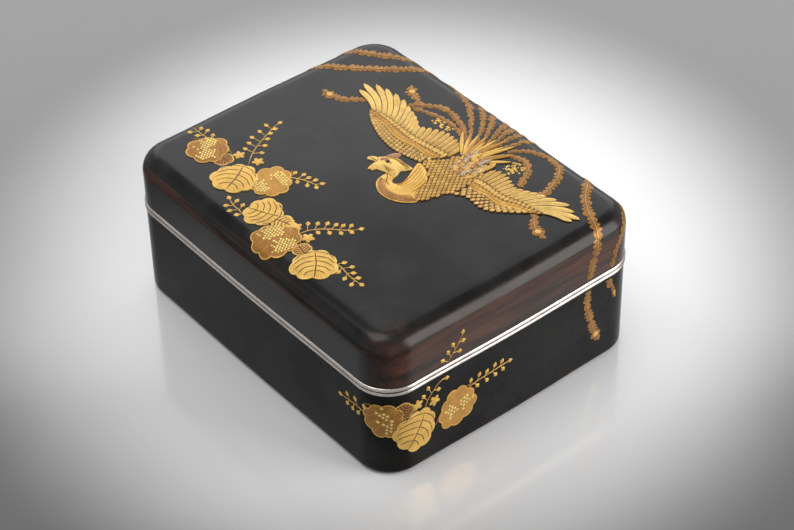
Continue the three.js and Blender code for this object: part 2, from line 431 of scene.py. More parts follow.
def build_lid():
    centre = TOP - EDGE
    shares = np.linspace(0.04, 1, 22)[:-1]
    section = [(EDGE, TOP, share, True) for share in shares]
    section += [(i, z, 1.0, True) for i, z in arc(EDGE, centre, EDGE, 90, 0, 20)]
    section += [(0, (centre + LID_WALL_BASE) / 2, 1.0, False), (0, LID_WALL_BASE, 1.0, False)]
    section += [(COAT, LID_WALL_BASE, 1.0, False)]
    section += [(i, z, 1.0, False) for i, z in arc(EDGE, centre, EDGE - COAT, 0, 90, 8)]
    section += [(EDGE, TOP - COAT, share, True) for share in reversed(shares)]
    middle = TOP + DOME
    points, faces = sweep_round(section, (middle, middle - COAT))
    faces = outward(points, faces)
    lid = make_object("lid_lacquer_coat", points, faces, LID_LACQUER, "lid")
    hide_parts("lid_outer_lacquer")


def build_body():
    inner = FOOT - COAT
    section = [(i, z, 1.0, False) for i, z in arc(FOOT, FOOT, FOOT, -90, 0, 10)]
    section += [(0, BODY_WALL_TOP * s, 1.0, False) for s in (0.4, 0.7, 1.0)]
    section += [(COAT, BODY_WALL_TOP, 1.0, False)]
    section += [(i, z, 1.0, False) for i, z in arc(FOOT, FOOT, inner, 0, -90, 4)]
    points, faces = sweep_round(section, (0, COAT))
    faces = outward(points, faces)
    body = make_object("body_lacquer_coat", points, faces, BODY_LACQUER, "box")
    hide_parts("body_outer_lacquer")


def build_rim(name, body):
    base, top = node_base(name), node_top(name)
    half = (top - base) / 2
    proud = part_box(name)[1].x / MM - LID_HIGH.x
    section = [(WALL, top, 1.0, False), (WALL, base, 1.0, False)]
    section += [(i, z, 1.0, False) for i, z in arc(half - proud, base + half, half, -90, 90, 14)]
    points, faces = sweep_round(section)
    rim = make_object(name + "_bead", points, outward(points, faces), RIM, body)
    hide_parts(name)


def build_lining(name, body, flip):
    """A lining is a thin cup, which stands in the box (flip 1) or hangs in the lid (flip -1)."""
    closed_end, open_end = (node_base(name), node_top(name))[::flip]
    corner = 2.0
    outer = corner + LINING
    inset = WALL - LINING
    centre = closed_end + flip * outer
    section = [(i, z, 1.0, False) for i, z in arc(inset + outer, centre, outer, -90 * flip, 0, 8)]
    section += [(inset, open_end, 1.0, False), (WALL, open_end, 1.0, False)]
    section += [(i, z, 1.0, False) for i, z in arc(inset + outer, centre, corner, 0, -90 * flip, 8)]
    points, faces = sweep_round(section, (closed_end, closed_end + flip * LINING))
    lining = make_object(name + "_coat", points, outward(points, faces), INNER, body)
    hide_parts(name)


def build_riser(name, side):
    low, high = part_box(name)
    base, top = low.z / MM, high.z / MM
    start, end, round_edge = WALL + 0.3, WALL + 2.5, 0.8
    section = [(start, base), (end, base)]
    section += [(end - round_edge * (1 - math.cos(a)), top - round_edge * (1 - math.sin(a)))
                for a in np.linspace(0, np.pi / 2, 5)]
    section += [(start + round_edge * (1 - math.cos(a)), top - round_edge * (1 - math.sin(a)))
                for a in np.linspace(np.pi / 2, 0, 5)]
    points, faces = sweep_side(section, side, 1)
    riser = make_object(name + "_strip", points, outward(points, faces), INNER, "box")
    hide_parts(name)


build_lid()
build_body()
build_rim("lid_metal_rim", "lid")
build_rim("body_metal_rim", "box")
build_lining("body_inner_lacquer", "box", 1)
build_lining("lid_inner_lacquer", "lid", -1)
for number, side_name in enumerate(("front", "right", "back", "left")):
    build_riser("riser_" + side_name, number)
for node_name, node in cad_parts.items():
    if node_name.endswith("_board"):
        node.data.materials.clear()
        node.data.materials.append(WOOD)

# Colours of the gold work, as linear values
PALE = (0.88, 0.59, 0.17)
BRIGHT = (0.84, 0.50, 0.11)
WARM = (0.58, 0.29, 0.055)
TAN = (0.39, 0.17, 0.032)
BROWN_GOLD = (0.19, 0.10, 0.048)
DARK = (0.075, 0.034, 0.014)
INK = (0.012, 0.008, 0.006)
ROSE = (0.44, 0.21, 0.115)
SILVERED = (0.52, 0.42, 0.30)
REDDISH = (0.30, 0.125, 0.06)
CUT = (1.0, 0.80, 0.26)


class Relief:
    """Raised gold work on one canvas: small closed slabs, joined into one mesh."""

    def __init__(self, canvas):
        self.canvas = canvas
        self.points, self.faces, self.colours = [], [], []
        self.count = 0

    def add(self, points, faces, colours):
        self.faces += [tuple(i + self.count for i in face) for face in faces]
        self.points.append(points)
        self.colours.append(colours)
        self.count += len(points)

    def slab(self, u, v, height, colour, wrap=False, root=RELIEF_ROOT):
        """A closed slab over a grid. With wrap, each row closes on itself."""
        rows, cols = u.shape
        top = self.canvas(u, v, height).reshape(-1, 3)
        under = self.canvas(u, v, np.full_like(u, root)).reshape(-1, 3)
        size = rows * cols
        faces = []
        for i in range(rows - 1):
            for j in range(cols if wrap else cols - 1):
                a, b = i * cols + j, i * cols + (j + 1) % cols
                faces.append((a, b, b + cols, a + cols))
                faces.append((size + a + cols, size + b + cols, size + b, size + a))
        last = (rows - 1) * cols
        span = cols if wrap else cols - 1
        for j in range(span):
            k = (j + 1) % cols
            if not wrap:
                faces.append((size + j, size + k, k, j))
            faces.append((last + j, last + k, size + last + k, size + last + j))
        if wrap:
            centre_top, centre_under = 2 * size, 2 * size + 1
            for j in range(cols):
                k = (j + 1) % cols
                faces.append((centre_top, k, j))
                faces.append((centre_under, size + j, size + k))
        else:
            for i in range(rows - 1):
                a, b = i * cols, (i + 1) * cols
                faces.append((a, b, size + b, size + a))
                c, d = a + cols - 1, b + cols - 1
                faces.append((d, c, size + c, size + d))
        points = np.vstack([top, under])
        shades = np.broadcast_to(colour, (rows, cols, 3)).reshape(-1, 3)
        shades = np.vstack([shades, shades])
        if wrap:
            mid = np.array([[u[0].mean()], [v[0].mean()]])
            points = np.vstack([
                points,
                self.canvas(mid[0], mid[1], np.array([height[0].mean()])),
                self.canvas(mid[0], mid[1], np.array([root])),
            ])
            shades = np.vstack([shades, shades[:1], shades[:1]])
        self.add(points, outward(points, faces), shades)

    def finish(self, name, body, material_used, slot=None):
        points = np.vstack(self.points)
        return make_object(name, points, self.faces, material_used, body, np.vstack(self.colours), 42)


def smooth_line(points, steps=10, closed=False):
    """A Catmull-Rom curve through the points."""
    p = np.asarray(points, float)
    ends = (p[-1:], p[:2]) if closed else (2 * p[:1] - p[1:2], 2 * p[-1:] - p[-2:-1])
    q = np.vstack([ends[0], p, ends[1]])
    t = np.linspace(0, 1, steps, endpoint=False)[:, None]
    out = []
    for a, b, c, d in zip(q[:-3], q[1:-2], q[2:-1], q[3:]):
        square = (2 * a - 5 * b + 4 * c - d) * t**2
        cube = (3 * b - a - 3 * c + d) * t**3
        out.append(0.5 * (2 * b + (c - a) * t + square + cube))
    curve = np.vstack(out)
    return curve if closed else np.vstack([curve, p[-1:]])


def resample(curve, step):
    gaps = np.hypot(*np.diff(curve, axis=0).T)
    along = np.r_[0, np.cumsum(gaps)]
    count = max(int(along[-1] / step), 2) + 1
    s = np.linspace(0, along[-1], count)
    return np.column_stack([np.interp(s, along, curve[:, k]) for k in (0, 1)]), s


def across(curve):
    direction = np.gradient(curve, axis=0)
    direction /= np.maximum(np.hypot(*direction.T), 1e-9)[:, None]
    return np.column_stack([-direction[:, 1], direction[:, 0]])


def strip(relief, curve, half_width, lanes, height, colour):
    """A slab along a curve. Lanes are places across it from -1 to 1; height and colour take (t, lane)."""
    side = across(curve)
    t = np.linspace(0, 1, len(curve))[:, None]
    lane = np.asarray(lanes, float)[None, :]
    half_width = np.asarray(half_width).reshape(len(curve), -1)
    offset = np.where(lane < 0, half_width[:, :1], half_width[:, -1:]) * lane
    u = curve[:, :1] + side[:, :1] * offset
    v = curve[:, 1:] + side[:, 1:] * offset
    t, lane = np.broadcast_arrays(t, lane)
    relief.slab(u, v, height(t, lane), colour(t, lane))


def blend_colours(a, b, factor):
    factor = np.clip(factor, 0, 1)[..., None]
    return np.asarray(a) * (1 - factor) + np.asarray(b) * factor


def plain(colour):
    """One colour for a whole strip."""
    return lambda t, lane: np.broadcast_to(colour, t.shape + (3,))


def line(relief, points, width, lift, colour, height=0.06, smooth=True):
    """A thin raised line, pointed at both ends."""
    curve = smooth_line(points, 6) if smooth else np.asarray(points, float)
    curve, s = resample(curve, max(width * 1.2, 0.4))
    t = np.linspace(0, 1, len(curve))
    half = width / 2 * np.minimum(1, 0.35 + 4 * np.minimum(t, 1 - t))
    lift = np.broadcast_to(lift, len(curve)) if np.ndim(lift) else np.full(len(curve), lift)
    tall = lift[:, None] + height * (1 - np.array([-1, 0, 1.0])[None, :] ** 2 * 0.6)
    strip(relief, curve, half, (-1, 0, 1), lambda t, lane: tall, plain(colour))


FEATHER_LANES = (-1, -0.8, -0.74, -0.4, -0.09, 0, 0.09, 0.4, 0.74, 0.8, 1)


def feather(relief, base, tip, width, bend, lift, tone, point, tall=0.3, lean=1):
    """A flight feather from base to tip. point is the share of its length that narrows to the tip."""
    base, tip = np.asarray(base, float), np.asarray(tip, float)
    chord = tip - base
    side = np.array([-chord[1], chord[0]])
    curve = smooth_line([base, base + chord / 2 + side * bend, tip], 9)
    t = np.linspace(0, 1, len(curve))
    taper = np.where(t > 1 - point, np.sqrt(np.clip(1 - ((t - 1 + point) / point) ** 2, 0, 1)), 1.0)
    half = width / 2 * (0.62 + 0.38 * np.minimum(t * 2, 1)) * np.maximum(taper, 0.08)

    def height(t, lane):
        shaft = 0.05 * (np.abs(lane) < 0.05)
        return lift + tall * (0.4 + 0.2 * lane * lean + 0.35 * (1 - lane**2)) + shaft

    def colour(t, lane):
        shades = blend_colours(tone, DARK, (np.abs(lane) > 0.79) * 0.9)
        shades = blend_colours(shades, WARM, (np.abs(lane) < 0.05) * 0.5)
        return blend_colours(shades, TAN, np.clip(0.5 - t * 1.6, 0, 0.5))

    strip(relief, curve, half, FEATHER_LANES, height, colour)


def scale_feather(relief, place, heading, length, width, lift, tone):
    """A small rounded feather that rises from its root to its tip."""
    heading = np.asarray(heading, float) / np.hypot(*heading)
    t = np.linspace(0, 1, 8)
    curve = np.asarray(place, float) + t[:, None] * heading * length
    rounding = np.sqrt(np.clip(1 - np.clip((t - 0.35) / 0.65, 0, 1) ** 2, 0.02, 1))
    half = width / 2 * rounding * (0.75 + 0.25 * np.minimum(t / 0.35, 1))

    def height(t, lane):
        return lift + 0.2 * t * (1 - 0.4 * lane**2) + 0.05

    def colour(t, lane):
        rim = np.maximum((np.abs(lane) > 0.77) * 1.0, (t > 0.84) * 1.0)
        return blend_colours(blend_colours(tone, TAN, 0.55 - t), DARK, rim * 0.8)

    strip(relief, curve, half, (-1, -0.78, -0.72, 0, 0.72, 0.78, 1), height, colour)


def disc(relief, centre, radius, lift, tall, colour, rings=8, spokes=48, edge=None, flat=0.6):
    """A crowned pad round a centre. radius is a function of the angle."""
    angle = np.linspace(0, 2 * np.pi, spokes, endpoint=False)
    rho = np.linspace(0.08, 1, rings)[:, None]
    far = radius(angle)[None, :]
    u = centre[0] + rho * far * np.cos(angle)
    v = centre[1] + rho * far * np.sin(angle)
    height = lift + tall * (1 - flat * rho**4) + 0 * far
    factor = np.broadcast_to((rho > 0.93) * 1.0, u.shape)
    relief.slab(u, v, height, blend_colours(colour, colour if edge is None else edge, factor), wrap=True)


def rim_gap(places, rim):
    """How far each place is from the nearest point of an outline."""
    across_x = places[:, None, 0] - rim[None, :, 0]
    across_y = places[:, None, 1] - rim[None, :, 1]
    return np.min(np.hypot(across_x, across_y), axis=1)


def dot(relief, centre, radius, lift, tall, colour, edge=None, rings=3, spokes=12):
    """A small round pad."""
    disc(relief, centre, lambda angle: radius + 0 * angle, lift, tall, colour, rings, spokes, edge)


def plate(relief, points, lift, colour, crown=0.0, closed_curve=True, spacing=2.0, steps=5):
    """A slab over any outline, filled with points so that it follows the surface. crown raises its middle."""
    rim = smooth_line(points, steps, closed=True) if closed_curve else np.asarray(points, float)
    low, high = rim.min(0), rim.max(0)
    columns, rows = np.arange(low[0], high[0], spacing), np.arange(low[1], high[1], spacing)
    grid = np.array([(x, y) for x in columns for y in rows])
    inside = np.zeros(len(grid), bool)
    nxt = np.roll(rim, -1, axis=0)
    for a, b in zip(rim, nxt):
        crossing = (a[1] > grid[:, 1]) != (b[1] > grid[:, 1])
        x = a[0] + (grid[:, 1] - a[1]) * (b[0] - a[0]) / (b[1] - a[1] + 1e-12)
        inside ^= crossing & (grid[:, 0] < x)
    grid = grid[inside & (rim_gap(grid, rim) > spacing * 0.45)]
    every = np.vstack([rim, grid])
    loop = [(i, (i + 1) % len(rim)) for i in range(len(rim))]
    verts, _, tris, *_ = delaunay_2d_cdt([Vector(p) for p in every], loop, [list(range(len(rim)))], 1, 1e-6)
    flat = np.array([tuple(p) for p in verts])
    height = lift + crown * np.sqrt(np.clip(rim_gap(flat, rim) / 3.0, 0, 1))
    top = relief.canvas(flat[:, 0], flat[:, 1], height)
    under = relief.canvas(flat[:, 0], flat[:, 1], np.full(len(flat), RELIEF_ROOT))
    size = len(flat)
    faces = [tuple(f) for f in tris] + [tuple(size + i for i in reversed(f)) for f in tris]
    edges = {}
    for f in tris:
        for a, b in zip(f, f[1:] + f[:1]):
            edges[(a, b)] = True
    faces += [(b, a, size + a, size + b) for a, b in edges if (b, a) not in edges]
    points = np.vstack([top, under])
    relief.add(points, outward(points, faces), np.broadcast_to(colour, (len(points), 3)))


def cut_square(relief, x, y, size, turn, lift, colour=CUT):
    """A square of cut gold with a bevelled edge."""
    c, s = math.cos(turn), math.sin(turn)
    lanes = np.array([-1, -0.72, 0.72, 1.0])
    a, b = np.meshgrid(lanes, lanes, indexing="ij")
    u = x + size / 2 * (a * c - b * s)
    v = y + size / 2 * (a * s + b * c)
    height = lift + np.where((np.abs(a) > 0.9) | (np.abs(b) > 0.9), 0.03, 0.12)
    relief.slab(u, v, height, colour)


# Paulownia

def lobed(radius, lobes, depth, turn, stretch=0.0, heading=0.0):
    """A scalloped outline, longer towards its heading."""
    def far(angle):
        scallop = np.abs(np.cos((angle - turn) * lobes / 2)) ** 0.7
        uneven = 1 + 0.05 * np.sin(3 * (angle - turn)) + 0.03 * np.sin(2 * angle + turn)
        return radius * (1 - depth + depth * scallop) * (1 + stretch * np.cos(angle - heading)) * uneven
    return far


def leaf_lift(centre, far, point, lift, tall):
    dx, dy = point[0] - centre[0], point[1] - centre[1]
    rho = min(math.hypot(dx, dy) / float(far(np.array([math.atan2(dy, dx)]))[0]), 1.0)
    return lift + tall * (1 - 0.6 * rho**4)


def leaf_edge(relief, centre, far, lift, tall, colour, width=0.5):
    angle = np.linspace(0, 2 * np.pi, 97)
    reach = 0.965 * far(angle)
    curve = np.column_stack([centre[0] + reach * np.cos(angle), centre[1] + reach * np.sin(angle)])
    half = np.full(len(curve), width / 2)
    level = lift + tall * 0.48
    strip(relief, curve, half, (-1, 0, 1), lambda t, lane: level + 0.07 * (1 - lane**2), plain(colour))


def leaf_vein(relief, centre, far, points, width, lift, tall, colour, height):
    """A line that lies on the crowned leaf."""
    along = resample(points, max(width * 1.2, 0.4))[0]
    lifts = np.array([leaf_lift(centre, far, p, lift, tall) for p in along])
    line(relief, points, width, lifts + 0.005, colour, height, smooth=False)


def veined_leaf(relief, centre, radius, heading, lobes, tone=BRIGHT, lift=0.1, tall=0.34, stretch=0.12):
    """A gold leaf with dark veins. heading points from the stalk to the leaf's tip, in degrees."""
    way = math.radians(heading)
    far = lobed(radius, lobes, 0.13, way + 0.3, stretch, way)
    disc(relief, centre, far, lift, tall, tone, rings=14, spokes=108, edge=PALE)
    leaf_edge(relief, centre, far, lift, tall, PALE, 0.42)
    ahead = np.array([math.cos(way), math.sin(way)])
    side = np.array([-ahead[1], ahead[0]])
    centre = np.asarray(centre, float)

    def vein(start, control, end, width):
        leaf_vein(relief, centre, far, smooth_line([start, control, end], 7), width, lift, tall, DARK, 0.035)

    root = centre - ahead * radius * 0.8
    vein(root, centre + side * radius * 0.06, centre + ahead * radius * 0.98, 0.42)
    for k in range(5):
        start = root + ahead * radius * (0.04 + 0.31 * k)
        length = radius * (0.98, 1.02, 0.95, 0.78, 0.52)[k]
        for sign in (-1, 1):
            end = start + (side * sign * 0.86 + ahead * 0.52) * length
            bendpoint = start + (side * sign * 0.52 + ahead * 0.16) * length
            vein(start, bendpoint, end, 0.36)


def cut_gold_leaf(works, centre, radius, heading, lobes, tone, seed, patches, squares, lift=0.1, size=0.8):
    """A brown leaf with a pale edge, faint veins and patches of cut gold squares."""
    relief, cuts = works
    tall = 0.3
    way = math.radians(heading)
    far = lobed(radius, lobes, 0.15, way + 0.2, 0.04, way)
    disc(relief, centre, far, lift, tall, tone, rings=14, spokes=108, edge=WARM)
    leaf_edge(relief, centre, far, lift, tall, BRIGHT, 0.4)
    centre = np.asarray(centre, float)
    ahead = np.array([math.cos(way), math.sin(way)])
    side = np.array([-ahead[1], ahead[0]])
    root = centre - ahead * radius * 0.85
    for k in range(-4, 5):
        swing = k * 0.27
        way_out = ahead * math.cos(swing) + side * math.sin(swing)
        end = root + way_out * radius * (1.72 - 0.11 * abs(k))
        middle = (root + end) / 2 + side * k * 0.14
        leaf_vein(relief, centre, far, smooth_line([root, middle, end], 6), 0.26, lift, tall, WARM, 0.03)
    draw = random.Random(seed)
    step = size * 1.42
    for px, py in patches:
        spot = centre + (ahead * px + side * py) * radius
        turn_all = way + draw.uniform(-0.3, 0.3)
        c, s = math.cos(turn_all), math.sin(turn_all)
        placed = 0
        cells = [(i, j) for i in range(-4, 5) for j in range(-4, 5)]
        cells.sort(key=lambda ij: math.hypot(ij[0] * 0.75, ij[1] * 1.1) + draw.uniform(0, 2.3))
        for i, j in cells:
            if placed >= squares // len(patches):
                break
            x = spot[0] + step * (i * c - (j + 0.5 * (i % 2)) * s)
            y = spot[1] + step * (i * s + (j + 0.5 * (i % 2)) * c)
            rho = math.hypot(x - centre[0], y - centre[1]) / radius
            if rho > 0.82:
                continue
            level = leaf_lift(centre, far, (x, y), lift, tall)
            side_length = size * draw.uniform(0.82, 1.06)
            cut_square(cuts, x, y, side_length, turn_all + draw.uniform(-0.25, 0.25), level)
            placed += 1


BUD_POWER = 1.08


def bud(relief, place, heading, length=2.6, width=1.95, tone=BRIGHT, lift=0.06):
    """A flower bud: a plump lozenge with its point away from the stem."""
    way = math.radians(heading)

    def far(angle):
        a = angle - way
        ahead = np.abs(np.cos(a) / (length / 2)) ** BUD_POWER
        aside = np.abs(np.sin(a) / (width / 2)) ** BUD_POWER
        return (ahead + aside) ** (-1 / BUD_POWER)

    disc(relief, place, far, lift, 0.34, tone, rings=5, spokes=20, edge=BRIGHT, flat=0.75)


def blossom(relief, place, radius=1.9, turn=0.0, tone=BRIGHT):
    """An open flower with five petals."""
    def far(angle):
        return radius * (0.8 + 0.2 * np.cos(5 * (angle - turn)) - 0.04 * np.cos(10 * (angle - turn)))

    disc(relief, place, far, 0.08, 0.3, tone, rings=6, spokes=50, edge=WARM, flat=0.7)
    dot(relief, place, 0.42, 0.36, 0.1, PALE)


def spray(relief, stem, buds, width=0.34, tone=BRIGHT):
    """A flower spike: its stem and buds, each bud on a short stalk from the nearest place on the stem."""
    line(relief, stem, width, 0.05, BRIGHT, 0.14)
    curve, _ = resample(smooth_line(stem, 8), 0.3)
    for x, y in buds:
        place = np.array([x, y])
        gaps = np.hypot(*(curve - place).T)
        nearest = int(np.argmin(gaps))
        foot = curve[max(nearest - 4, 0)]
        way = math.degrees(math.atan2(y - foot[1], x - foot[0]))
        if gaps[nearest] > 0.5:
            line(relief, [foot, (foot + place) / 2, place], width * 0.8, 0.05, BRIGHT, 0.12)
        bud(relief, place, way, tone=tone)


def build_paulownia_on_lid():
    gold_work, cuts = works = Relief(skin), Relief(skin)
    # The group on the left
    spray(gold_work, [(-58, -33.4), (-64, -34.1), (-70.5, -34.1)],
          [(-61.4, -31.4), (-65, -31.2), (-67.7, -32.2), (-65, -35.9), (-68.5, -36.8)])
    spray(gold_work, [(-38, -32), (-42, -27.5), (-45.6, -21.5), (-49, -14), (-50.6, -10), (-51, -7.5)],
          [(-51, -7.4), (-53.2, -12.3), (-51.6, -16.6), (-50.6, -21), (-48.4, -24), (-46.5, -27.2),
           (-49.1, -11.2), (-48, -14.2), (-45.9, -17.2), (-43.3, -20.4), (-40.5, -24)])
    spray(gold_work, [(-22.5, -26.5), (-20.5, -24.3), (-16.2, -22), (-11, -20.5)],
          [(-22.5, -22.1), (-19.5, -20.3), (-16.8, -20.1), (-14, -19.1), (-10.7, -18.5),
           (-17.6, -24.8), (-13.6, -23.3), (-10.4, -21.5)])
    blossom(gold_work, (-44.9, -31.2), 2.5, 0.2)
    blossom(gold_work, (-37, -28.3), 2.5, 0.5)
    cut_gold_leaf(works, (-55.4, -37.9), 8.2, -70, 7, TAN, 3, ((-0.3, -0.3), (0.45, 0.12)), 56)
    veined_leaf(gold_work, (-47.3, -37.2), 3.9, 10, 6, TAN, lift=0.05, tall=0.2)
    cut_gold_leaf(works, (-24, -32), 8.7, -165, 9, WARM, 5, ((-0.25, -0.5), (0.35, 0.5)), 52)
    veined_leaf(gold_work, (-34.9, -40.2), 8.7, -62, 8, BRIGHT, lift=0.3)
    # The group on the right
    spray(gold_work, [(-16, -50.8), (-19, -50.6), (-22.5, -50.4), (-26.5, -49.3)],
          [(-20, -48), (-23.4, -48.1), (-26.8, -49.2), (-17, -52.7), (-20.6, -53.3), (-23.8, -52.5)])
    spray(gold_work, [(6.3, -45), (6.6, -41), (8, -37), (11.2, -33), (14.5, -30), (17.2, -27.2),
    (19, -24.4)],
          [(19, -24), (15.2, -25.6), (13.3, -27.8), (11.2, -29.4), (8.6, -31.3), (6.3, -34), (4, -36.6),
           (18.2, -27.8), (16.1, -31), (13.2, -34), (10.4, -37)])
    spray(gold_work, [(27, -42.8), (31, -42.6), (36, -43.3), (42, -43.3)],
          [(29.5, -40.2), (33.1, -39.6), (36, -41.3), (39.2, -41.7), (42.8, -43),
           (32.2, -44.9), (36.3, -45.5), (40.4, -45.7)])
    blossom(gold_work, (2.6, -41), 2.5, 0.2)
    blossom(gold_work, (10.4, -41.6), 2.7, 0.6)
    veined_leaf(gold_work, (-10.8, -44.4), 7.6, -155, 8, BRIGHT, lift=0.2)
    veined_leaf(gold_work, (-3.2, -43.5), 4.4, 20, 6, BRIGHT, lift=0.12)
    veined_leaf(gold_work, (14.8, -47.3), 3.6, 170, 6, WARM, lift=0.12)
    veined_leaf(gold_work, (23.1, -48.4), 8.3, -38, 8, BRIGHT, lift=0.2)
    cut_gold_leaf(works, (3.9, -50.6), 9.2, -80, 9, TAN, 7, ((-0.25, -0.48), (0.12, 0.5)), 74, lift=0.28)
    gold_work.finish("lid_paulownia_gold", "lid", GOLD)
    cuts.finish("lid_paulownia_cut_gold", "lid", CUT_GOLD)


def build_paulownia_on_body():
    gold_work, cuts = works = Relief(corner_wall), Relief(corner_wall)
    spray(gold_work, [(-8, 28.6), (-12, 29), (-16, 28.6), (-20.5, 28.2)],
          [(-20.8, 28.3), (-17, 31), (-12.6, 31.8), (-8, 31.3), (-17, 26.6), (-14, 26.2), (-11, 26.2)])
    spray(gold_work, [(15.5, 26.5), (17, 30), (19.6, 33), (22, 35.2), (24.6, 36.2)],
          [(17.2, 35.4), (15.1, 32.6), (21.8, 32.4), (25.6, 35.6)])
    spray(gold_work, [(35.5, 25), (40, 25.9), (45, 26.2), (50, 26.6), (54, 26.8)],
          [(36.6, 27.8), (40.5, 28.4), (44, 27.8), (47.7, 28.8), (51, 28.6), (54.8, 26.8),
           (39.6, 23.6), (44, 23.6), (48, 24), (51.6, 24.6)])
    blossom(gold_work, (12.4, 30.4), 2.5, 0.4)
    blossom(gold_work, (19.9, 28), 2.6, 0.9)
    cut_gold_leaf(works, (-0.6, 27), 7.9, -120, 8, TAN, 11, ((0.2, 0.3), (-0.2, -0.3)), 16, size=1.05)
    veined_leaf(gold_work, (6.6, 30), 3.9, 60, 5, TAN, lift=0.05, tall=0.2)
    cut_gold_leaf(works, (30.2, 19.2), 8.9, -60, 9, WARM, 13, ((0.1, 0.32), (-0.1, -0.3)), 22, size=1.05)
    veined_leaf(gold_work, (11.8, 19.2), 9.2, -118, 9, BRIGHT, lift=0.25, stretch=0.06)
    gold_work.finish("body_paulownia_gold", "box", GOLD)
    cuts.finish("body_paulownia_cut_gold", "box", CUT_GOLD)
    lid_spray = Relief(corner_wall)
    spray(lid_spray, [(26.4, 42.6), (28, 45), (30.6, 48.4), (33, 52)],
          [(32.8, 53), (28.4, 49.4), (26.2, 47), (23.8, 44.5), (33, 49), (31.4, 45)])
    lid_spray.finish("lid_wall_spray", "lid", GOLD)


# The bird

def plume(relief, points, width=1.9, eye=False, tone=TAN, start=0.5, lift=0.05):
    """A long tail plume with scalloped edges and a pale shaft. eye adds a golden spot before its tip."""
    curve, s = resample(smooth_line(points, 10), 0.3)
    t = s / s[-1]
    phase = points[0][0] + 2 * points[0][1]
    lobes = []
    for shift in (phase, phase * 1.7 + 1):
        scallop = np.abs(np.sin(s * 1.3 + shift + 0.8 * np.sin(s * 0.7 + shift))) ** 0.8
        lobes.append(0.36 + 0.72 * scallop + 0.14 * np.sin(s * 0.83 + shift))
    half = width / 2 * (start + (1 - start) * np.minimum(t * 2.5, 1))
    left = s[-1] - s
    if eye:
        lobe = np.exp(-(((left - 4.6) / 2.1) ** 2))
        half = half * (1 + 0.42 * lobe) * np.clip(left / 3.0, 0.04, 1)
    else:
        half = half * np.clip(left / 1.0, 0.3, 1)
    half = half[:, None] * np.stack(lobes, -1)
    lanes = (-1, -0.86, -0.5, -0.13, 0, 0.13, 0.5, 0.86, 1)

    def height(t, lane):
        return lift + 0.16 * (1 - 0.75 * lane**2) + 0.07 * (np.abs(lane) < 0.05)

    def colour(t, lane):
        shades = blend_colours(tone, BROWN_GOLD, (np.abs(lane) > 0.1) * (np.abs(lane) < 0.2) * 0.9)
        shades = blend_colours(shades, BRIGHT, (np.abs(lane) < 0.05) * 0.9)
        return blend_colours(shades, WARM, (np.abs(lane) > 0.95) * 0.6)

    strip(relief, curve, half, lanes, height, colour)
    if eye:
        k = int(np.argmin(np.abs(left - 4.8)))
        dot(relief, curve[k], 1.15, lift + 0.12, 0.14, BRIGHT, PALE, rings=4, spokes=20)


def between(a, b, share):
    return np.asarray(a, float) * (1 - share) + np.asarray(b, float) * share


def on_curve(curve, share):
    gaps = np.hypot(*np.diff(curve, axis=0).T)
    along = np.r_[0, np.cumsum(gaps)] / gaps.sum()
    return np.array([np.interp(share, along, curve[:, k]) for k in (0, 1)])


BACK_EDGE = 60.0
BACK_SHARE = 0.65


def above_rim(points):
    """Draws a path up on the back wall, so that it ends above the lid's lower edge."""
    return [(x, y if y < BACK_EDGE else BACK_EDGE + BACK_SHARE * (y - BACK_EDGE)) for x, y in points]


